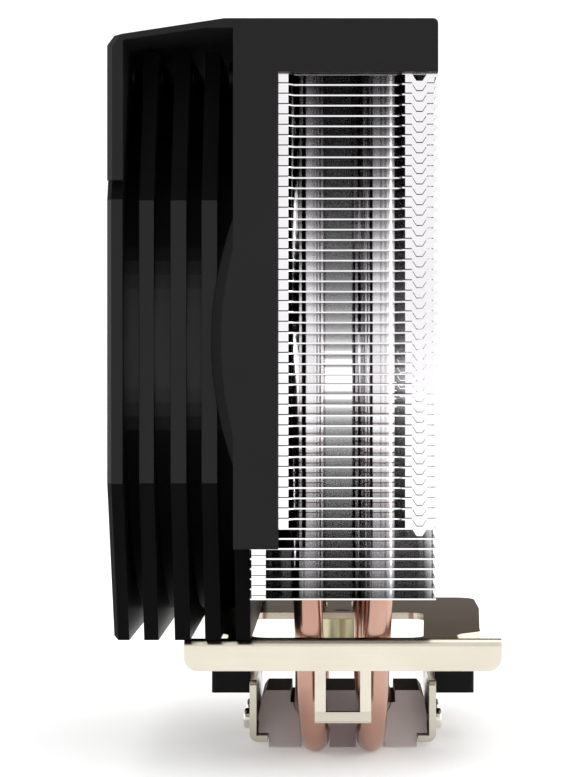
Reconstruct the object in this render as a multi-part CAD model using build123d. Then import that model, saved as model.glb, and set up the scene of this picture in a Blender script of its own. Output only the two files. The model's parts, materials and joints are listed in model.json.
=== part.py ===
from build123d import *
import os
from math import cos, radians, sin

# CPU tower cooler, in millimetres. Origin: centre of the base's contact face.
# +Z is up the fin stack, and air goes from the fan on -X to the back at +X.

# Base block and its two side plates
base_height = 10.9
base_half_x = 18.2
base_foot_half_x = 15.9
rebate_height = 2.7
ridge_half_y = 9.5
base_half_y = 19.2
plate_inner_x = 18.5
plate_thick = 1.5
plate_low_z = 1.1
plate_top_z = 14.3
plate_half_y = 19.0
side_screw_y = 7.0
side_screw_z = 4.4
side_screw_head = 1.75
peg_y = 9.5
peg_z = 12.4
peg_r = 1.4

# Heat pipes
pipe_r = 3.0
solder_gap = 0.05
tip_z = 141.0
outer_leg_y = 36.0
outer_leg_x = 7.3
outer_base_x = 5.9
outer_base_z = 2.7
outer_bend_r = 15.0
inner_leg_y = 24.0
inner_leg_left_x = -7.4
inner_leg_right_x = 5.5
inner_base_x = 7.8
inner_base_z = 8.6
channel_outer_x = 11.4
inner_bend_r = 11.0
lean_start_z = 34.0

# Fin stack
lower_fin_count = 8
corner_tab_count = 6
lower_fin_z = 35.5
lower_pitch = 1.98
upper_fin_count = 44
upper_fin_z = 51.3
upper_pitch = 2.033
fin_thick = 0.3
fin_half_x = 18.3
fin_half_y = 59.5
fin_edge_y = 58.1
fin_notch_half_y = 58.4
column_x0 = -12.7
column_x1 = -10.7
lock_x0 = 12.2
lock_x1 = 17.9
lock_x = 15.0
tab_gap = 0.15
tab_height = lower_pitch - fin_thick - tab_gap
corner_tab_rise = 0.5
collar_wall = 0.35
collar_height = lower_pitch - fin_thick - 0.06

# Fan frame, whose axis lies along X
fan_z = 86.3
bore_r = 56.5
duct_r = 58.0
lead_in_r = 58.9
flange_half_y = 58.4
bezel_half_y = 61.0
flange_flat_z = 27.8
flange_end_y = 47.0
flange_bottom_z = -60.0
flange_top_z = 58.6
flange_spans = [(-46.2, -43.1), (-40.1, -37.2), (-33.9, -30.8), (-27.8, -24.7), (-21.6, -18.6)]
fan_front_x = flange_spans[0][0]
fan_back_x = flange_spans[-1][1]
bezel_bevel = 0.9
motor_r = 20.0
fan_screw_y = 38.0
fan_screw_z = 141.2

# Impeller and motor
hub_r = 20.0
hub_front_x = -43.4
hub_back_x = -24.4
blade_count = 9
blade_tip_r = 55.4
blade_thick = 1.5
shaft_r = 1.5
bearing_bore_r = 1.55
bearing_r = 3.95

# Shroud
shroud_half_y = 61.2
shroud_inner_y = 58.8
cover_low_z = 139.05
cover_top_z = 149.5
cover_back_x = 18.6
shroud_wall = 1.8
panel_front_x = -21.5
panel_back_x = -12.7
panel_low_z = 45.7
flare_front_x = -26.6
flare_r = 58.0
flare_slope = 1.14
cheek_low_z = 117.9
cheek_back_x = -43.0
cheek_bevel = 1.1

# Clip frame, ears, pins and springs
frame_top_z = 26.0
sheet = 1.5
frame_half_y = 43.0
flange_half_x = 32.35
far_flange_half_x = 26.5
near_flange_z = 19.5
far_flange_z = 20.9
hook_half_x = 5.75
hook_slot_half_x = 3.5
hook_low_z = 9.0
hook_slot_low_z = 11.2
window_outline = [(-18.6, -40.0), (16.5, -40.0), (18.4, 8.7), (-20.5, 8.7)]
stud_r = 4.6
stud_y = 13.4
stud_low_z = 14.0
ear_out_x = 28.55
ear_in_x = 20.05
ear_half_y = 12.0
ear_low_z = 10.7
ear_top_z = 17.0
leg_screw_x = 24.8
leg_screw_y = 8.2
insert_r = 2.6
insert_hole_r = 1.6
pin_x = 24.0
pin_r = 1.5


def box(x0, x1, y0, y1, z0, z1):
    """Box between two corners."""
    return Pos((x0 + x1) / 2, (y0 + y1) / 2, (z0 + z1) / 2) * Box(x1 - x0, y1 - y0, z1 - z0)


def rod_x(radius, x0, x1, y=0.0, z=0.0):
    """Cylinder along X."""
    return Pos((x0 + x1) / 2, y, z) * Rot(0, 90, 0) * Cylinder(radius, x1 - x0)


def rod_z(radius, z0, z1, x=0.0, y=0.0):
    """Cylinder along Z."""
    return Pos(x, y, (z0 + z1) / 2) * Cylinder(radius, z1 - z0)


def prism_x(points, x0, x1):
    """Outline of (y, z) points, extruded along X."""
    return extrude(Plane.YZ.offset(x0) * Polygon(*points, align=None), x1 - x0, dir=(1, 0, 0))


def prism_y(points, y0, y1):
    """Outline of (x, z) points, extruded along Y."""
    return extrude(Plane.XZ.offset(-y0) * Polygon(*points, align=None), y1 - y0, dir=(0, 1, 0))


def prism_z(points, z0, z1):
    """Outline of (x, y) points, extruded along Z."""
    return extrude(Plane.XY.offset(z0) * Polygon(*points, align=None), z1 - z0, dir=(0, 0, 1))


def flipped_x(shape):
    """The shape's mirror image across the plane X = 0."""
    return mirror(shape, about=Plane.YZ)


def flipped_y(shape):
    """The shape's mirror image across the plane Y = 0."""
    return mirror(shape, about=Plane.XZ)


def save(node, *solids):
    """Write one node, as one solid or as a group of separate solids."""
    shape = solids[0] if len(solids) == 1 else Compound(children=[part.solid() for part in solids])
    export_step(shape, f"parts/{node}.step")


# ---- Heat pipes ----

def outer_pipe_path(side):
    """U path of an outer pipe: down one leg, under the block and up the other leg."""
    leg = [(side * outer_leg_x, -outer_leg_y, tip_z), (side * outer_leg_x, -outer_leg_y, lean_start_z),
           (side * outer_base_x, -outer_leg_y, outer_base_z)]
    other = [(x, -y, z) for x, y, z in reversed(leg)]
    return FilletPolyline(*leg, *other, radius=[40.0, outer_bend_r, outer_bend_r, 40.0])


def inner_pipe_path(leg_x):
    """U path of an inner pipe, which swings outwards to reach its channel."""
    side = 1 if leg_x > 0 else -1
    leg = [(leg_x, -inner_leg_y, tip_z), (leg_x, -inner_leg_y, lean_start_z),
           (leg_x * 0.94, -inner_leg_y, inner_base_z + 0.2), (side * inner_base_x, -ridge_half_y, inner_base_z)]
    other = [(x, -y, z) for x, y, z in reversed(leg)]
    return FilletPolyline(*leg, *other, radius=[40.0, inner_bend_r, 20.0, 20.0, inner_bend_r, 40.0])


def tube_on(path, radius):
    """Round bar of one radius along a path that starts straight down."""
    start = Plane(origin=path @ 0, z_dir=path % 0)
    return sweep(start * Circle(radius), path=path)


def heat_pipe(path):
    """One pipe with coned tips; what would stand below the contact face is milled off."""
    pipe = tube_on(path, pipe_r)
    for end in (0, 1):
        tip = path @ end
        pipe += Pos(tip.X, tip.Y, tip.Z + 1.0) * Cone(pipe_r, 1.4, 2.0)
    return pipe - box(-30, 30, -60, 60, -5, 0)


# ---- Base ----

def base_block(paths):
    """Extruded block with sloped ends, bottom grooves, open channels and screw holes."""
    half = [(base_foot_half_x, 0), (base_foot_half_x, rebate_height), (base_half_x, rebate_height),
            (base_half_x, 6.4), (base_half_x - 0.5, 9.6), (base_half_x - 1.4, base_height)]
    outline = half + [(-x, z) for x, z in reversed(half)]
    block = prism_y(outline, -base_half_y, base_half_y)
    side_view = [(-base_half_y, 0), (base_half_y, 0), (ridge_half_y, base_height), (-ridge_half_y, base_height)]
    block &= prism_x(side_view, -base_half_x, base_half_x)
    fit_r = pipe_r + solder_gap
    for path in paths:
        block -= tube_on(path, fit_r)
    for side in (-1, 1):
        low = side * outer_base_x
        high = side * inner_base_x
        block -= box(low - fit_r, low + fit_r, -20, 20, -1, outer_base_z)
        channel = sorted((high - side * fit_r, side * channel_outer_x))
        block -= box(*channel, -20, 20, inner_base_z, base_height + 1)
        for y in (-side_screw_y, side_screw_y):
            block -= rod_x(1.55, *sorted((side * 12.2, side * 19.0)), y, side_screw_z)
    return block


def side_plate():
    """Bent plate on the +X side of the block, with its foot under the block's rebate."""
    outer_x = plate_inner_x + plate_thick
    foot_x = base_foot_half_x + 0.2
    outline = [(foot_x, plate_low_z), (outer_x, plate_low_z), (outer_x, plate_top_z),
               (plate_inner_x, plate_top_z), (plate_inner_x, plate_low_z + 1.4), (foot_x, plate_low_z + 1.4)]
    plate = prism_y(outline, -plate_half_y, plate_half_y)
    corner = plate.edges().filter_by(Axis.Y).sort_by(lambda e: e.center().X - e.center().Z)[-1]
    plate = fillet(corner, 1.9)
    rims = plate.edges().filter_by(Axis.X).group_by(Axis.Z)[-1]
    plate = fillet(rims, 1.2)
    for y in (-side_screw_y, side_screw_y):
        plate -= rod_x(1.7, 18, 21, y, side_screw_z)
    for y in (-peg_y, peg_y):
        plate -= rod_x(peg_r, 18, 21, y, peg_z)
    return plate


def side_screw(y):
    """Pan-head screw through the +X side plate into the block, with a cross recess."""
    seat_x = plate_inner_x + plate_thick
    top_x = seat_x + side_screw_head
    head = rod_x(2.25, seat_x, top_x, y, side_screw_z)
    head = fillet(head.edges().filter_by(GeomType.CIRCLE).group_by(Axis.X)[-1], 0.7)
    recess = box(top_x - 0.8, top_x + 1, y - 1.3, y + 1.3, side_screw_z - 0.25, side_screw_z + 0.25)
    recess += box(top_x - 0.8, top_x + 1, y - 0.25, y + 0.25, side_screw_z - 1.3, side_screw_z + 1.3)
    return head + rod_x(1.5, 12.6, seat_x, y, side_screw_z) - recess


def mounting_ear():
    """Moulded ear outside the +X side plate: two insert pockets, a pin bore and two pegs."""
    ear = box(ear_in_x, ear_out_x, -ear_half_y, ear_half_y, ear_low_z, ear_top_z)
    ear = fillet(ear.edges().filter_by(Axis.Z).group_by(Axis.X)[-1], 0.8)
    for y in (-leg_screw_y, leg_screw_y):
        ear -= rod_z(insert_r, ear_low_z - 1, ear_top_z + 1, leg_screw_x, y)
    ear -= rod_z(pin_r + 0.06, ear_low_z - 1, ear_top_z + 1, pin_x)
    ear -= rod_z(3.1, ear_low_z - 1, 12.5, pin_x)
    for y in (-peg_y, peg_y):
        ear += rod_x(peg_r, plate_inner_x, ear_in_x + 0.5, y, peg_z)
    return ear


def ear_insert(x, y):
    """Threaded bush in an ear, shown with its thread's core bore."""
    return rod_z(insert_r, ear_low_z, ear_top_z, x, y) - rod_z(insert_hole_r, 0, 30, x, y)


# ---- Clip frame ----

def frame_plate():
    """Flat plate with a window for the near legs and slots for the far legs."""
    right = [(23.6, -frame_half_y + sheet), (23.6, -34.5), (28.9, -29.0), (29.0, -24.0), (31.5, 18.0),
             (31.6, frame_half_y)]
    outline = right + [(-x, y) for x, y in reversed(right)]
    plate = prism_z(outline, frame_top_z - sheet, frame_top_z)
    for x, y, radius in ((28.9, -29.0, 5.0), (23.6, -34.5, 5.0), (31.6, frame_half_y, 5.0)):
        for edge_x in (-x, x):
            edge = plate.edges().filter_by(Axis.Z).sort_by_distance((edge_x, y, frame_top_z))[0]
            plate = fillet(edge, radius)
    window = prism_z(window_outline, frame_top_z - 3, frame_top_z + 3)
    plate -= fillet(window.edges().filter_by(Axis.Z), 3.4)
    for x0, x1 in ((-10.9, -3.5), (2.0, 10.9)):
        slot = Pos((x0 + x1) / 2, 30.0) * RectangleRounded(x1 - x0, 22.0, 3.6)
        plate -= extrude(Plane.XY.offset(frame_top_z - 3) * slot, 6)
    return plate


def frame_flange(half_x, low_z):
    """Edge flange bent down along the near side, with rounded lower corners."""
    flange = box(-half_x, half_x, -frame_half_y, -frame_half_y + sheet, low_z, frame_top_z)
    lower = flange.edges().filter_by(Axis.Y).group_by(Axis.Z)[0]
    flange = fillet(lower, 2.8)
    bend = flange.edges().filter_by(Axis.X).sort_by(lambda e: e.center().Z - e.center().Y)[-1]
    return fillet(bend, 1.45)


def hook_loop(top_z):
    """Loop that catches a socket lug: two legs and an outward-turned lip."""
    outer_y = -frame_half_y
    legs = box(-hook_half_x, hook_half_x, outer_y, outer_y + sheet, hook_slot_low_z - 0.4, top_z + 3)
    legs -= box(-hook_slot_half_x, hook_slot_half_x, outer_y - 1, outer_y + 3, hook_slot_low_z, top_z)
    lip = [(outer_y + sheet, hook_slot_low_z), (outer_y, hook_slot_low_z), (outer_y - 1.0, hook_low_z + 0.5),
           (outer_y - 0.6, hook_low_z), (outer_y + 0.9, hook_low_z + 0.4)]
    return legs + prism_x(lip, -hook_half_x, hook_half_x)


def clip_frame():
    """Plate, flanges and hook loops as one bent sheet, drilled for its stud and pins."""
    frame = frame_plate() + frame_flange(flange_half_x, near_flange_z) + hook_loop(near_flange_z)
    frame += flipped_y(frame_flange(far_flange_half_x, far_flange_z) + hook_loop(far_flange_z))
    frame -= rod_z(2.0, 20, 30, 0, stud_y)
    for x in (-pin_x, pin_x):
        frame -= rod_z(pin_r, 20, 30, x)
    return frame


def frame_stud():
    """Round stud riveted under the frame."""
    body = rod_z(stud_r, stud_low_z, frame_top_z - sheet, 0, stud_y)
    body = chamfer(body.edges().filter_by(GeomType.CIRCLE).group_by(Axis.Z)[0], 0.6)
    return body + rod_z(2.0, frame_top_z - sheet, frame_top_z, 0, stud_y)


def guide_pin(x):
    """Pin riveted in the frame's arm, which slides in the ear's bore."""
    pin = rod_z(pin_r, 10.9, frame_top_z, x)
    return pin - (rod_z(3, 11.6, 12.4, x) - rod_z(1.2, 11, 13, x))


def pin_clip(x):
    """Open retaining ring in the pin's groove."""
    ring = rod_z(2.8, 11.65, 12.35, x) - rod_z(1.22, 11, 13, x)
    return ring - box(x - 0.8, x + 0.8, 0, 4, 11, 13)


def clip_spring(x):
    """Open coil spring between the ear and the frame's arm."""
    wire_r = 0.4
    low_z = ear_top_z + wire_r
    height = frame_top_z - sheet - ear_top_z - 2 * wire_r
    coil = Helix(pitch=height / 4, height=height, radius=2.25)
    start = Plane(origin=coil @ 0, z_dir=coil % 0)
    return Pos(x, 0, low_z) * sweep(start * Circle(wire_r), path=coil, is_frenet=True)


# ---- Fins ----

def leg_places():
    """Where the eight pipe legs pass through the fins."""
    places = [(x, y) for x in (-outer_leg_x, outer_leg_x) for y in (-outer_leg_y, outer_leg_y)]
    inner_xs = (inner_leg_left_x, inner_leg_right_x)
    return places + [(x, y) for x in inner_xs for y in (-inner_leg_y, inner_leg_y)]


def edge_tabs():
    """Tabs folded down from the front and back edges, which keep the pitch."""
    tabs = []
    for y in (-47.0, 0.0, 47.0):
        tabs.append(box(fin_half_x - fin_thick, fin_half_x, y - 3, y + 3, -tab_height, 0.01))
        tabs.append(box(-fin_half_x, -fin_half_x + fin_thick, y - 3, y + 3, -tab_height, 0.01))
    return tabs


def lock_trapezoid(top_half, low_half, low_z, high_z):
    """Dovetail outline about the middle of the locking column, in the plane of its tabs."""
    outline = [(lock_x - top_half, high_z), (lock_x - low_half, low_z),
               (lock_x + low_half, low_z), (lock_x + top_half, high_z)]
    return prism_y(outline, -fin_half_y, -fin_half_y + fin_thick)


def column_tabs():
    """Side tabs of an upper fin: a plain one, and a locking one with its tongue and end nub."""
    inner_y = -fin_half_y + fin_thick
    plain = box(column_x0, column_x1, -fin_half_y, inner_y, -tab_height, 0.01)
    lock = box(lock_x0, lock_x1, -fin_half_y, inner_y, -tab_height, 0.01)
    tongue = lock_trapezoid(1.56, 0.56, -upper_pitch - 1.05, -tab_height + 0.01)
    nub = box(lock_x1, lock_x1 + 0.7, -fin_half_y, inner_y, -0.5, 0.01)
    nub += box(lock_x1, lock_x1 + 0.7, -fin_half_y, -fin_half_y + 2.0, 0, fin_thick)
    return [plain, lock + tongue, nub]


def corner_tab(low_z):
    """Side tab of a lower fin, near its front corner, which stands a little above the fin."""
    return [box(-18.0, -15.2, -fin_edge_y, -fin_edge_y + fin_thick, low_z, fin_thick + corner_tab_rise)]


def lower_fin_outline():
    """Plain rectangle in (x, y)."""
    return [(-fin_half_x, -fin_edge_y), (fin_half_x, -fin_edge_y),
            (fin_half_x, fin_edge_y), (-fin_half_x, fin_edge_y)]


def upper_fin_outline():
    """Outline in (x, y): narrower beside the shroud's panels and set back between the tabs."""
    edge = [(-fin_half_x, -fin_notch_half_y), (column_x0, -fin_notch_half_y), (column_x0, -fin_half_y),
            (column_x1, -fin_half_y), (column_x1 + 1.1, -fin_edge_y), (lock_x0 - 1.6, -fin_edge_y),
            (lock_x0 - 0.6, -fin_half_y), (fin_half_x, -fin_half_y)]
    return edge + [(x, -y) for x, y in reversed(edge)]


def fin(outline, side_tabs):
    """One fin with its underside at Z = 0, its pipe collars and its folded tabs."""
    plate = prism_z(outline, 0, fin_thick)
    for tab in edge_tabs() + side_tabs + [flipped_y(tab) for tab in side_tabs]:
        plate += tab
    for x, y in leg_places():
        collar = rod_z(pipe_r + 0.02 + collar_wall, -collar_height, 0.01, x, y)
        plate = plate + collar - rod_z(pipe_r + 0.02, -3, 2, x, y)
    return plate.solid()


def lowest_fin():
    """Fin at the bottom of the stack, which has nothing below it to stand off."""
    tab = corner_tab(0)[0]
    plate = prism_z(lower_fin_outline(), 0, fin_thick) + tab + flipped_y(tab)
    for x, y in leg_places():
        plate -= rod_z(pipe_r + 0.02, -1, 1, x, y)
    return plate.solid()


def upper_fin():
    """Fin with locking tabs, notched for the tongues of the fin above."""
    outline = [(lock_x - 1.6, fin_thick + 0.01), (lock_x - 0.6, -1.25), (lock_x + 0.6, -1.25),
               (lock_x + 1.6, fin_thick + 0.01)]
    notch = prism_y(outline, -fin_half_y - 1, -fin_half_y + fin_thick + 0.1)
    plate = fin(upper_fin_outline(), column_tabs()) - notch - flipped_y(notch)
    return plate.solid()


def fin_group(template, low_z, pitch, first, last):
    """Copies of one fin at a steady pitch."""
    return [Pos(0, 0, low_z + i * pitch) * template for i in range(first, last)]


# ---- Fan ----

def flange_outline(half_y, clearance=0.0):
    """Octagon of a fan flange, in (y, z)."""
    side = half_y + clearance
    end = flange_end_y + clearance
    low = fan_z + flange_bottom_z - clearance
    high = fan_z + flange_top_z + clearance
    half = [(end, low), (side, fan_z - flange_flat_z), (side, fan_z + flange_flat_z), (end, high)]
    return half + [(-y, z) for y, z in reversed(half)]


def bezel():
    """Front flange with bevelled front edges."""
    flange = prism_x(flange_outline(bezel_half_y), *flange_spans[0])
    front = flange.faces().sort_by(Axis.X)[0]
    return chamfer(front.outer_wire().edges(), bezel_bevel)


def fan_frame():
    """Ribbed duct, motor mount on four struts, and screw lugs in the flanges."""
    frame = bezel() + rod_x(duct_r, fan_front_x + 2, fan_back_x, 0, fan_z)
    for span in flange_spans[1:]:
        frame += prism_x(flange_outline(flange_half_y), *span)
    frame -= rod_x(bore_r, -60, 0, 0, fan_z)
    lead_in = Rot(0, 90, 0) * Cone(lead_in_r, bore_r, 3.0)
    frame -= Pos(fan_front_x + 1.5, 0, fan_z) * lead_in
    for angle in (45, 135, 225, 315):
        strut = box(-21.4, -18.8, -2.2, 2.2, 15, bore_r + 0.7)
        frame += Pos(0, 0, fan_z) * Rot(angle, 0, 0) * strut
    frame += rod_x(motor_r, -20.4, fan_back_x, 0, fan_z)
    frame += rod_x(5.2, -34.0, -20.0, 0, fan_z)
    frame -= rod_x(4.0, -40.0, -19.8, 0, fan_z)
    for y in (-fan_screw_y, fan_screw_y):
        frame -= rod_x(1.6, -22, -18, y, fan_screw_z)
        frame -= rod_x(3.0, -50, -24, y, fan_screw_z)
    return frame - box(-25, -18, 20, 25, 0, fan_z + flange_bottom_z + 1.6)


def fan_screw(y):
    """Pan-head screw that holds the fan's back flange to the shroud's boss."""
    head = rod_x(2.8, -23.4, -21.65, y, fan_screw_z)
    recess = box(-24, -22.6, y - 1.6, y + 1.6, fan_screw_z - 0.3, fan_screw_z + 0.3)
    recess += box(-24, -22.6, y - 0.3, y + 0.3, fan_screw_z - 1.6, fan_screw_z + 1.6)
    return head - recess + rod_x(1.25, -21.65, -12.4, y, fan_screw_z)


def blade_section(radius, angle, chord, pitch, middle_x):
    """Cambered blade section, square to the radius at one angle about the fan's axis."""
    outward = (0, cos(radians(angle)), sin(radians(angle)))
    around = (0, -sin(radians(angle)), cos(radians(angle)))
    centre = (middle_x, radius * outward[1], fan_z + radius * outward[2])
    plane = Plane(origin=centre, x_dir=around, z_dir=outward)
    half = chord / 2
    camber = 0.07 * chord
    lower = ThreePointArc((-half, 0), (0, camber), (half, 0))
    upper = ThreePointArc((half, 0.5), (0, camber + blade_thick), (-half, 0.5))
    ends = [Line((half, 0), (half, 0.5)), Line((-half, 0.5), (-half, 0))]
    section = make_face([lower, ends[0], upper, ends[1]])
    return plane * Rot(0, 0, pitch) * section


def blade(angle):
    """One swept blade, trimmed to the tip radius."""
    middle_x = -33.6
    sections = [blade_section(19.0, angle, 15.5, 48, middle_x),
                blade_section(38.0, angle + 5, 24.0, 36, middle_x),
                blade_section(58.5, angle + 14, 33.0, 27, middle_x)]
    return loft(sections) & rod_x(blade_tip_r, -45, -22, 0, fan_z)


def impeller():
    """Hub cup with its blades."""
    hub = rod_x(hub_r, hub_front_x, hub_back_x, 0, fan_z)
    hub = fillet(hub.edges().filter_by(GeomType.CIRCLE).group_by(Axis.X)[0], 1.6)
    for i in range(blade_count):
        hub += blade(360 / blade_count * i)
    return hub - rod_x(18.6, hub_front_x + 1.6, hub_back_x + 2, 0, fan_z)


def rotor_yoke():
    """Pressed steel cup inside the hub, with a collar that holds the shaft."""
    cup = rod_x(18.5, -41.7, -24.8, 0, fan_z) - rod_x(17.5, -40.7, -20, 0, fan_z)
    return cup + rod_x(3.2, -41.7, -37.6, 0, fan_z) - rod_x(shaft_r, -50, -30, 0, fan_z)


def rotor_shaft():
    """Shaft with a groove for its retaining clip."""
    shaft = rod_x(shaft_r, -41.7, -20.6, 0, fan_z)
    return shaft - (rod_x(3, -22.2, -21.6, 0, fan_z) - rod_x(1.2, -23, -21, 0, fan_z))


def ring_x(outer, inner, x0, x1):
    """Ring about the fan's axis."""
    return rod_x(outer, x0, x1, 0, fan_z) - rod_x(inner, x0 - 1, x1 + 1, 0, fan_z)


def stator_core():
    """Laminated core: four poles with wide shoes."""
    core = rod_x(7.6, -35.5, -28.5, 0, fan_z)
    shoes = ring_x(14.6, 12.8, -35.5, -28.5)
    for angle in range(0, 180, 90):
        core += Pos(0, 0, fan_z) * Rot(angle, 0, 0) * box(-35.5, -28.5, -2.0, 2.0, -13.5, 13.5)
    for angle in range(0, 180, 90):
        shoes -= Pos(0, 0, fan_z) * Rot(angle + 45, 0, 0) * box(-36, -28, -1.6, 1.6, -16, 16)
    return core + shoes - rod_x(5.3, -40, -20, 0, fan_z)


def stator_coil(angle):
    """Winding on one pole."""
    coil = box(-37.0, -27.0, -4.0, 4.0, 8.2, 12.0) - box(-35.6, -28.4, -2.1, 2.1, 0, 20)
    coil = fillet(coil.edges().filter_by(Axis.Z).group_by(lambda e: round(abs(e.center().Y), 1))[-1], 1.2)
    return Pos(0, 0, fan_z) * Rot(angle, 0, 0) * coil


# ---- Shroud ----

def top_cover():
    """Open-bottomed cover over the top fin."""
    cover = box(panel_front_x, cover_back_x, -shroud_half_y, shroud_half_y, cover_low_z, cover_top_z)
    cover = fillet(cover.edges().filter_by(Axis.Y).sort_by(lambda e: e.center().X + e.center().Z)[-1], 1.0)
    inner_back_x = cover_back_x - shroud_wall
    cover -= box(-30, inner_back_x, -shroud_inner_y, shroud_inner_y, 130, cover_top_z - shroud_wall)
    for y in (-fan_screw_y, fan_screw_y):
        cover += rod_x(2.0, -18.4, -11.4, y, fan_screw_z)
        cover += box(-18.4, -11.4, y - 0.8, y + 0.8, fan_screw_z + 1.5, cover_top_z - 1)
        cover -= rod_x(1.3, -19, -12.2, y, fan_screw_z)
    return cover


def hood():
    """Sloped roof over the fan, and the cheeks that square off its front corners."""
    outer = [(panel_front_x, cover_top_z), (-23.2, cover_top_z), (-44.8, 146.2), (-46.2, 144.3),
             (-46.2, cheek_low_z), (panel_front_x, cheek_low_z)]
    inner = [(cheek_back_x, cheek_low_z - 1), (cheek_back_x, 145.3), (-26.9, 147.6), (-20.0, 147.7),
             (-20.0, cheek_low_z - 1)]
    block = prism_y(outer, -shroud_half_y, shroud_half_y)
    rims = [edge for edge in block.faces().filter_by(Axis.Y).edges() if edge.center().X < -44.0]
    shell = chamfer(rims, cheek_bevel) - prism_y(inner, -70, 70)
    return shell - prism_x(flange_outline(bezel_half_y, 0.3), -50, -42)


def side_panel():
    """Panel beside the fins on the -Y side, whose front edge flares around the duct."""
    panel = box(panel_front_x, panel_back_x, -shroud_half_y, -shroud_inner_y, panel_low_z, cover_low_z + 0.5)
    depth = panel_front_x - flare_front_x
    cone = Rot(0, 90, 0) * Cone(flare_r, flare_r + flare_slope * depth, depth)
    slab = box(flare_front_x, panel_front_x, -shroud_half_y, -shroud_inner_y, fan_z - 30, fan_z + 30)
    return panel + (slab & Pos(flare_front_x + depth / 2, 0, fan_z) * cone)


def shroud():
    """Cover, hood and side panels in one moulding."""
    panel = side_panel()
    return top_cover() + hood() + panel + flipped_y(panel)


def write_base():
    outer_paths = [outer_pipe_path(-1), outer_pipe_path(1)]
    inner_paths = [inner_pipe_path(inner_leg_left_x), inner_pipe_path(inner_leg_right_x)]
    save("base_block", base_block(outer_paths + inner_paths))
    names = ("outer_pipe_left", "outer_pipe_right", "inner_pipe_left", "inner_pipe_right")
    for name, path in zip(names, outer_paths + inner_paths):
        save(name, heat_pipe(path))
    screws = [side_screw(y) for y in (-side_screw_y, side_screw_y)]
    save("side_plate_right", side_plate())
    save("side_plate_left", flipped_x(side_plate()))
    save("side_plate_screws", *screws, *[flipped_x(screw) for screw in screws])
    save("mounting_ear_right", mounting_ear())
    save("mounting_ear_left", flipped_x(mounting_ear()))
    places = [(x, y) for x in (-leg_screw_x, leg_screw_x) for y in (-leg_screw_y, leg_screw_y)]
    save("ear_inserts", *[ear_insert(x, y) for x, y in places])


def write_clip():
    save("clip_frame", clip_frame())
    save("frame_stud", frame_stud())
    save("guide_pins", guide_pin(-pin_x), guide_pin(pin_x))
    save("pin_clips", pin_clip(-pin_x), pin_clip(pin_x))
    save("clip_springs", clip_spring(-pin_x), clip_spring(pin_x))


def write_fins():
    tabbed = fin(lower_fin_outline(), corner_tab(corner_tab_rise - tab_height))
    plain = fin(lower_fin_outline(), [])
    lower = fin_group(lowest_fin(), lower_fin_z, lower_pitch, 0, 1)
    lower += fin_group(tabbed, lower_fin_z, lower_pitch, 1, corner_tab_count)
    lower += fin_group(plain, lower_fin_z, lower_pitch, corner_tab_count, lower_fin_count)
    save("fins_lower", *lower)
    save("fins_upper", *fin_group(upper_fin(), upper_fin_z, upper_pitch, 0, upper_fin_count))


def write_fan():
    save("fan_frame", fan_frame())
    save("fan_screws", fan_screw(-fan_screw_y), fan_screw(fan_screw_y))
    save("impeller", impeller())
    save("rotor_yoke", rotor_yoke())
    save("rotor_shaft", rotor_shaft())
    save("magnet_ring", ring_x(17.5, 15.4, -39.5, -26.0))
    save("shaft_clip", ring_x(2.8, 1.22, -22.15, -21.65))
    save("thrust_washer", ring_x(3.4, bearing_bore_r, -36.9, -36.2))
    save("bearing_sleeve", ring_x(bearing_r, bearing_bore_r, -36.0, -23.2))
    save("stator_core", stator_core())
    save("stator_coils", *[stator_coil(angle) for angle in (0, 90, 180, 270)])
    save("circuit_board", ring_x(16.5, 5.4, -22.8, -21.4))
    save("hall_sensor", box(-23.9, -22.8, -2.0, 2.0, fan_z + 11.0, fan_z + 14.0))


os.makedirs("parts", exist_ok=True)
write_base()
write_clip()
write_fins()
write_fan()
save("shroud", shroud())
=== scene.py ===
import json
import math

import bmesh
import bpy
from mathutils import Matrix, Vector


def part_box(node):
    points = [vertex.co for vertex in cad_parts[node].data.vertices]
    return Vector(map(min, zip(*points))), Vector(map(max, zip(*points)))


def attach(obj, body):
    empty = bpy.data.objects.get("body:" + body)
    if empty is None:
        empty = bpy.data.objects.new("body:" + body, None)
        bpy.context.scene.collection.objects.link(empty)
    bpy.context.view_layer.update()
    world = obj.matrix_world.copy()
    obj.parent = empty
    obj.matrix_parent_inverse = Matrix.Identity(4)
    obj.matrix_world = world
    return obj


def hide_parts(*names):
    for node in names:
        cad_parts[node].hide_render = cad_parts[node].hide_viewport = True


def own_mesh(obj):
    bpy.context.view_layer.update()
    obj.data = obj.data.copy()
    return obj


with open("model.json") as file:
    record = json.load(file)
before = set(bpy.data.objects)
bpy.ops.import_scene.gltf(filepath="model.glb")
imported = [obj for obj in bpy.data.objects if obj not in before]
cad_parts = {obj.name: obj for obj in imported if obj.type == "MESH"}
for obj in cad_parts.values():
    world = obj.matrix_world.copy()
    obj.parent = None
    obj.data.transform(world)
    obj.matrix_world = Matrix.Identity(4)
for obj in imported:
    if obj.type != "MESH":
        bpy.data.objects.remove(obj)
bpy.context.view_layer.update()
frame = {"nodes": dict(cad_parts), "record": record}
nodes = frame["nodes"]

# Camera: a long lens near the middle of the near side, level with the stack's lower half
CAMERA_X = -0.0004
CAMERA_Y = -0.4915
CAMERA_Z = 0.0791
SENSOR_MM = 36.0
LENS_MM = 102.07
SHIFT_X = -0.0656
SHIFT_Y = -0.0129

# Clip springs: round wire, closed end turns and open turns between them
SPRING_WIRE_R = 0.0004
SPRING_COIL_R = 0.00225
SPRING_END_TURNS = 0.9
SPRING_OPEN_TURNS = 4.0
SPRING_END_PITCH = 2.1 * SPRING_WIRE_R

# Flat floor, with most of it behind the object so that its far edge stays out of sight
FLOOR_HALF_WIDTH = 20.0
FLOOR_FRONT_Y = -6.0
FLOOR_BACK_Y = 60.0

# White surround: brightness straight in front of the object, and beside and behind it
WORLD_FRONT = 0.97
WORLD_BACK = 1.12


# ---- Node helpers ----

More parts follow.
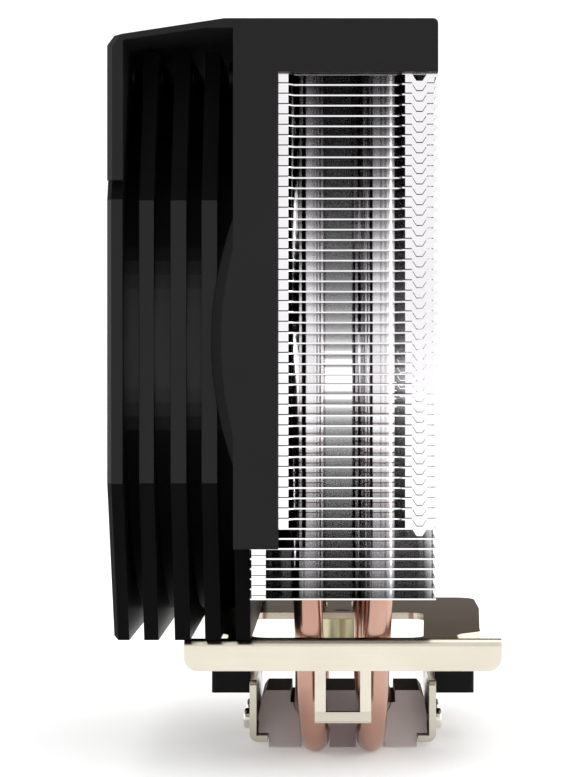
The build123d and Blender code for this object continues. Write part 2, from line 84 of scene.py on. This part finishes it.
def new_material(name):
    """Material with an empty node tree, its Principled shader and its output."""
    material = bpy.data.materials.new(name)
    material.use_nodes = True
    tree = material.node_tree
    tree.nodes.clear()
    shader = tree.nodes.new("ShaderNodeBsdfPrincipled")
    output = tree.nodes.new("ShaderNodeOutputMaterial")
    tree.links.new(shader.outputs["BSDF"], output.inputs["Surface"])
    return material, tree, shader


def mapped_noise(tree, scale, stretch=(1, 1, 1), detail=3.0):
    """Noise in object space, stretched along an axis for brushed or rolled grain."""
    coord = tree.nodes.new("ShaderNodeTexCoord")
    mapping = tree.nodes.new("ShaderNodeMapping")
    mapping.inputs["Scale"].default_value = stretch
    noise = tree.nodes.new("ShaderNodeTexNoise")
    noise.inputs["Scale"].default_value = scale
    noise.inputs["Detail"].default_value = detail
    tree.links.new(coord.outputs["Object"], mapping.inputs["Vector"])
    tree.links.new(mapping.outputs["Vector"], noise.inputs["Vector"])
    return noise.outputs["Fac"]


def ramp(tree, fac, low, high, start=0.3, stop=0.7):
    """Colour ramp from one colour to another."""
    node = tree.nodes.new("ShaderNodeValToRGB")
    node.color_ramp.elements[0].position = start
    node.color_ramp.elements[1].position = stop
    node.color_ramp.elements[0].color = (*low, 1)
    node.color_ramp.elements[1].color = (*high, 1)
    tree.links.new(fac, node.inputs["Fac"])
    return node.outputs["Color"]


def span(tree, fac, low, high):
    """A 0 to 1 value stretched to a range."""
    node = tree.nodes.new("ShaderNodeMapRange")
    node.inputs["To Min"].default_value = low
    node.inputs["To Max"].default_value = high
    tree.links.new(fac, node.inputs["Value"])
    return node.outputs["Result"]


def bump(tree, height, strength, distance, edge_radius=0.0):
    """Bump over a normal that is rounded at the edges when a radius is given."""
    node = tree.nodes.new("ShaderNodeBump")
    node.inputs["Strength"].default_value = strength
    node.inputs["Distance"].default_value = distance
    tree.links.new(height, node.inputs["Height"])
    if edge_radius:
        bevel = tree.nodes.new("ShaderNodeBevel")
        bevel.samples = 4
        bevel.inputs["Radius"].default_value = edge_radius
        tree.links.new(bevel.outputs["Normal"], node.inputs["Normal"])
    return node.outputs["Normal"]


def level_faces(tree, both_ways, start, stop):
    """Mask from the surface normal's Z, used for painted shade: 1 on faces that look up, and down too when it
    works both ways.
    """
    geometry = tree.nodes.new("ShaderNodeNewGeometry")
    split = tree.nodes.new("ShaderNodeSeparateXYZ")
    mask = tree.nodes.new("ShaderNodeMapRange")
    mask.inputs["From Min"].default_value = start
    mask.inputs["From Max"].default_value = stop
    tree.links.new(geometry.outputs["True Normal"], split.inputs["Vector"])
    height = split.outputs["Z"]
    if both_ways:
        size = tree.nodes.new("ShaderNodeMath")
        size.operation = "ABSOLUTE"
        tree.links.new(height, size.inputs[0])
        height = size.outputs["Value"]
    tree.links.new(height, mask.inputs["Value"])
    return mask.outputs["Result"]


def blend(tree, mask, first, second):
    """Colour socket mixed towards a plain colour where the mask is 1."""
    node = tree.nodes.new("ShaderNodeMix")
    node.data_type = "RGBA"
    colours = [socket for socket in node.inputs if socket.type == "RGBA"]
    colours[1].default_value = (*second, 1)
    tree.links.new(mask, node.inputs["Factor"])
    tree.links.new(first, colours[0])
    return next(socket for socket in node.outputs if socket.type == "RGBA")


# ---- Materials ----

def moulded_plastic(name, colour, lighter, roughness, specular, edge_radius=0.0003, paint_slope_shade=False):
    """Spark-eroded plastic with softened edges; faces that slope up or down can get painted shade, with their
    specular turned down.
    """
    material, tree, shader = new_material(name)
    cloud = mapped_noise(tree, 38.0, detail=4.0)
    grain = mapped_noise(tree, 2600.0, detail=2.0)
    tree.links.new(ramp(tree, cloud, colour, lighter), shader.inputs["Base Color"])
    tree.links.new(span(tree, cloud, roughness - 0.05, roughness + 0.06), shader.inputs["Roughness"])
    tree.links.new(bump(tree, grain, 0.35, 0.00006, edge_radius), shader.inputs["Normal"])
    if paint_slope_shade:
        # painted shade: faces that slope up or down lose their specular
        gloss = span(tree, level_faces(tree, True, 0.15, 0.32), specular, 0.02)
        tree.links.new(gloss, shader.inputs["Specular IOR Level"])
    else:
        shader.inputs["Specular IOR Level"].default_value = specular
    return material


def metal(name, low, high, roughness, grain_scale=900.0, stretch=(1, 1, 1), strength=0.12,
          spread=0.06, edge_radius=0.0, depth=0.00003, metallic=1.0, painted_shade_colour=None,
          painted_shade_tint=(0.04, 0.04, 0.04), both_ways=False):
    """Metal with a directional grain and uneven gloss; faces that look up, and down too when both_ways, get
    painted shade: a darker colour and a darker specular tint.
    """
    material, tree, shader = new_material(name)
    shader.inputs["Metallic"].default_value = metallic
    shader.inputs["Specular IOR Level"].default_value = 0.0
    tone = mapped_noise(tree, 60.0, detail=4.0)
    grain = mapped_noise(tree, grain_scale, stretch)
    colour = ramp(tree, tone, low, high)
    # painted shade: faces that look up (and down with both_ways) get a darker colour and specular tint
    if painted_shade_colour:
        mask = level_faces(tree, both_ways, 0.75, 0.95)
        colour = blend(tree, mask, colour, painted_shade_colour)
        tree.links.new(ramp(tree, mask, (1, 1, 1), painted_shade_tint, 0.0, 1.0), shader.inputs["Specular Tint"])
    tree.links.new(colour, shader.inputs["Base Color"])
    tree.links.new(span(tree, grain, roughness - spread, roughness + spread), shader.inputs["Roughness"])
    tree.links.new(bump(tree, grain, strength, depth, edge_radius), shader.inputs["Normal"])
    return material


def board_material():
    """Green circuit board with a faint pattern of tracks under the resist."""
    material, tree, shader = new_material("board_resist")
    coord = tree.nodes.new("ShaderNodeTexCoord")
    tracks = tree.nodes.new("ShaderNodeTexVoronoi")
    tracks.feature = "DISTANCE_TO_EDGE"
    tracks.inputs["Scale"].default_value = 420.0
    tree.links.new(coord.outputs["Object"], tracks.inputs["Vector"])
    colour = ramp(tree, tracks.outputs["Distance"], (0.05, 0.30, 0.12), (0.01, 0.12, 0.05), 0.02, 0.08)
    tree.links.new(colour, shader.inputs["Base Color"])
    shader.inputs["Roughness"].default_value = 0.35
    return material


def floor_material():
    """Pale light-table floor with a barely uneven tone and a faint glow."""
    material, tree, shader = new_material("studio_floor")
    tone = mapped_noise(tree, 3.0)
    tree.links.new(ramp(tree, tone, (0.90, 0.90, 0.90), (0.93, 0.93, 0.93)), shader.inputs["Base Color"])
    shader.inputs["Roughness"].default_value = 0.6
    shader.inputs["Specular IOR Level"].default_value = 0.2
    shader.inputs["Emission Color"].default_value = (1, 1, 1, 1)
    shader.inputs["Emission Strength"].default_value = 0.2
    return material


def paint_nodes():
    """Give every CAD node its finished material."""
    # painted shade: the fan's faces that slope up or down are darkened
    fan = moulded_plastic("fan_black", (0.0030, 0.0028, 0.0029), (0.0046, 0.0043, 0.0044), 0.40, 0.24,
                          paint_slope_shade=True)
    hood = moulded_plastic("shroud_charcoal", (0.0085, 0.0076, 0.0080), (0.0110, 0.0098, 0.0104), 0.55, 0.17)
    ear = moulded_plastic("ear_black", (0.002, 0.002, 0.002), (0.004, 0.004, 0.004), 0.34, 0.10)
    blades = moulded_plastic("impeller_black", (0.006, 0.006, 0.006), (0.010, 0.010, 0.010), 0.30, 0.45)
    black_screw = moulded_plastic("screw_black", (0.006, 0.006, 0.006), (0.012, 0.012, 0.012), 0.40, 0.20,
                                  0.0001)
    copper = metal("copper_tube", (0.47, 0.26, 0.20), (0.54, 0.33, 0.26), 0.20,
                   700.0, (1, 1, 0.06), 0.05, 0.04)
    # painted shade: the fins' flat faces, up and down, get a darker colour and tint so the gaps between fins
    # read dark
    fins = metal("fin_aluminium", (0.92, 0.90, 0.92), (0.97, 0.95, 0.97), 0.13,
                 500.0, (0.05, 1, 1), 0.02, 0.03,
                 painted_shade_colour=(0.34, 0.33, 0.345), painted_shade_tint=(0.58, 0.58, 0.58), both_ways=True)
    # painted shade: the block's faces that look up are painted nearly black
    block = metal("block_aluminium", (0.74, 0.68, 0.70), (0.84, 0.78, 0.80), 0.52, 900.0, (1, 0.05, 1), 0.20,
                  edge_radius=0.0003, metallic=0.5, painted_shade_colour=(0.09, 0.075, 0.07))
    # painted shade: the clip plate's faces that look up are painted dark olive
    cream = metal("nickel_cream", (0.66, 0.61, 0.51), (0.73, 0.68, 0.57), 0.22, 1200.0, (0.05, 1, 1), 0.06,
                  edge_radius=0.0002, painted_shade_colour=(0.24, 0.20, 0.13), painted_shade_tint=(0.085, 0.045, 0.0))
    nickel = metal("nickel_plate", (0.50, 0.46, 0.38), (0.58, 0.54, 0.46), 0.20, 1200.0, (1, 0.05, 1), 0.10,
                   edge_radius=0.0002)
    # painted shade: the screws' faces that look up are painted darker
    steel = metal("screw_steel", (0.66, 0.64, 0.58), (0.80, 0.78, 0.72), 0.20, 1500.0, edge_radius=0.0001,
                  painted_shade_colour=(0.20, 0.18, 0.14))
    # painted shade: the studs' faces that look up are painted darker
    stud = metal("stud_brass", (0.50, 0.47, 0.29), (0.60, 0.57, 0.37), 0.34, 1200.0, (1, 1, 0.1),
                 painted_shade_colour=(0.20, 0.18, 0.12))
    brass = metal("insert_brass", (0.70, 0.54, 0.26), (0.80, 0.64, 0.34), 0.28, 1500.0)
    core = metal("lamination_steel", (0.30, 0.30, 0.32), (0.40, 0.40, 0.42), 0.45, 2600.0, (8, 0.2, 0.2), 0.5)
    winding = metal("winding_copper", (0.55, 0.22, 0.08), (0.70, 0.32, 0.14), 0.32, 2400.0, (1, 6, 1), 0.6)
    magnet = moulded_plastic("magnet_ferrite", (0.05, 0.05, 0.055), (0.08, 0.08, 0.085), 0.6, 0.3)
    nylon = moulded_plastic("nylon", (0.70, 0.68, 0.60), (0.80, 0.78, 0.70), 0.45, 0.5)
    finishes = {
        "fan_plastic": fan, "shroud_plastic": hood, "ear_plastic": ear, "impeller_plastic": blades,
        "copper": copper, "fin_aluminium": fins, "base_aluminium": block, "nickel_cream": cream,
        "nickel_plate": nickel, "screw_steel": steel, "screw_black": black_screw, "stud_brass": stud,
        "insert_brass": brass, "lamination_steel": core, "winding_copper": winding, "magnet": magnet,
        "nylon": nylon, "board": board_material(),
    }
    for entry in frame["record"]["subparts"]:
        mesh = nodes[entry["node"]].data
        mesh.materials.clear()
        mesh.materials.append(finishes[entry["material_slot"]])
    return finishes


# ---- Pieces ----

def mesh_object(name, mesh, material):
    """Link a mesh as an object with one material."""
    mesh.materials.append(material)
    obj = bpy.data.objects.new(name, mesh)
    bpy.context.scene.collection.objects.link(obj)
    return obj


def coil_spring(name, centre_x, low_z, high_z, material):
    """Compression spring with closed end turns, as a mesh tube along its helix."""
    steps = 180
    turns = SPRING_OPEN_TURNS + 2 * SPRING_END_TURNS
    end_rise = SPRING_END_TURNS * SPRING_END_PITCH
    open_rise = high_z - low_z - 2 * SPRING_WIRE_R - 2 * end_rise
    curve = bpy.data.curves.new(name, "CURVE")
    curve.dimensions = "3D"
    curve.bevel_depth = SPRING_WIRE_R
    curve.bevel_resolution = 3
    curve.use_fill_caps = True
    line = curve.splines.new("POLY")
    line.points.add(steps)
    for i in range(steps + 1):
        turn = turns * i / steps
        first = min(turn, SPRING_END_TURNS)
        middle = min(max(turn - SPRING_END_TURNS, 0), SPRING_OPEN_TURNS)
        last = max(turn - SPRING_END_TURNS - SPRING_OPEN_TURNS, 0)
        rise = (first + last) * SPRING_END_PITCH + middle / SPRING_OPEN_TURNS * open_rise
        angle = 2 * math.pi * turn
        x = centre_x + SPRING_COIL_R * math.cos(angle)
        y = SPRING_COIL_R * math.sin(angle)
        line.points[i].co = (x, y, low_z + SPRING_WIRE_R + rise, 1)
    source = bpy.data.objects.new(name + "_path", curve)
    mesh = bpy.data.meshes.new_from_object(source)
    mesh.name = name
    mesh.materials.clear()
    bpy.data.objects.remove(source)
    for face in mesh.polygons:
        face.use_smooth = True
    return mesh_object(name, mesh, material)


def add_springs(material):
    """One spring at each side, in the place of the clip_springs part, which is hidden."""
    low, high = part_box("clip_springs")
    centre_x = (high.x - low.x) / 2 - SPRING_COIL_R - SPRING_WIRE_R
    for name, side in (("clip_spring_left", -1), ("clip_spring_right", 1)):
        spring = coil_spring(name, side * centre_x, low.z, high.z, material)
        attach(spring, "cooler")
        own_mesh(spring)
        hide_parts("clip_springs")


# ---- Studio ----

def add_floor():
    """Flat pale floor that reaches far behind the object."""
    mesh = bpy.data.meshes.new("studio_floor")
    shape = bmesh.new()
    corners = ((-FLOOR_HALF_WIDTH, FLOOR_FRONT_Y), (FLOOR_HALF_WIDTH, FLOOR_FRONT_Y),
               (FLOOR_HALF_WIDTH, FLOOR_BACK_Y), (-FLOOR_HALF_WIDTH, FLOOR_BACK_Y))
    shape.faces.new([shape.verts.new((x, y, 0)) for x, y in corners])
    shape.to_mesh(mesh)
    shape.free()
    floor = mesh_object("studio_floor", mesh, floor_material())


def area_light(name, place, target, size, power):
    """Square white soft light aimed at a point."""
    data = bpy.data.lights.new(name, "AREA")
    data.size = size
    data.energy = power
    light = bpy.data.objects.new(name, data)
    light.location = place
    light.rotation_euler = (Vector(target) - Vector(place)).to_track_quat("-Z", "Y").to_euler()
    bpy.context.scene.collection.objects.link(light)


def add_world():
    """White surround, a little dimmer in front of the object than beside and behind it."""
    world = bpy.data.worlds.new("studio")
    world.use_nodes = True
    tree = world.node_tree
    coord = tree.nodes.new("ShaderNodeTexCoord")
    split = tree.nodes.new("ShaderNodeSeparateXYZ")
    level = tree.nodes.new("ShaderNodeMapRange")
    level.inputs["From Min"].default_value = -1.0
    level.inputs["From Max"].default_value = -0.2
    level.inputs["To Min"].default_value = WORLD_FRONT
    level.inputs["To Max"].default_value = WORLD_BACK
    tree.links.new(coord.outputs["Generated"], split.inputs["Vector"])
    tree.links.new(split.outputs["Y"], level.inputs["Value"])
    tree.links.new(level.outputs["Result"], tree.nodes["Background"].inputs["Strength"])
    tree.nodes["Background"].inputs["Color"].default_value = (1, 1, 1, 1)
    bpy.context.scene.world = world


def add_lights():
    """Soft lights at both sides, a little behind the object, and a weak one above."""
    middle = (0, 0, 0.08)
    area_light("side_right", (0.9, 0.15, 0.15), middle, 0.4, 1.6)
    area_light("side_left", (-0.9, 0.15, 0.15), middle, 0.4, 1.0)
    area_light("top", (0.0, -0.1, 1.2), middle, 0.8, 2.0)


def add_camera():
    """Camera square to the near side."""
    data = bpy.data.cameras.new("camera")
    data.sensor_width = SENSOR_MM
    data.lens = LENS_MM
    data.shift_x = SHIFT_X
    data.shift_y = SHIFT_Y
    data.clip_start = 0.01
    camera = bpy.data.objects.new("camera", data)
    camera.location = (CAMERA_X, CAMERA_Y, CAMERA_Z)
    camera.rotation_euler = (math.pi / 2, 0, 0)
    bpy.context.scene.collection.objects.link(camera)
    bpy.context.scene.camera = camera


bpy.context.scene.view_settings.view_transform = "Standard"
add_camera()
add_floor()
add_world()
add_lights()
finishes = paint_nodes()
add_springs(finishes["screw_steel"])
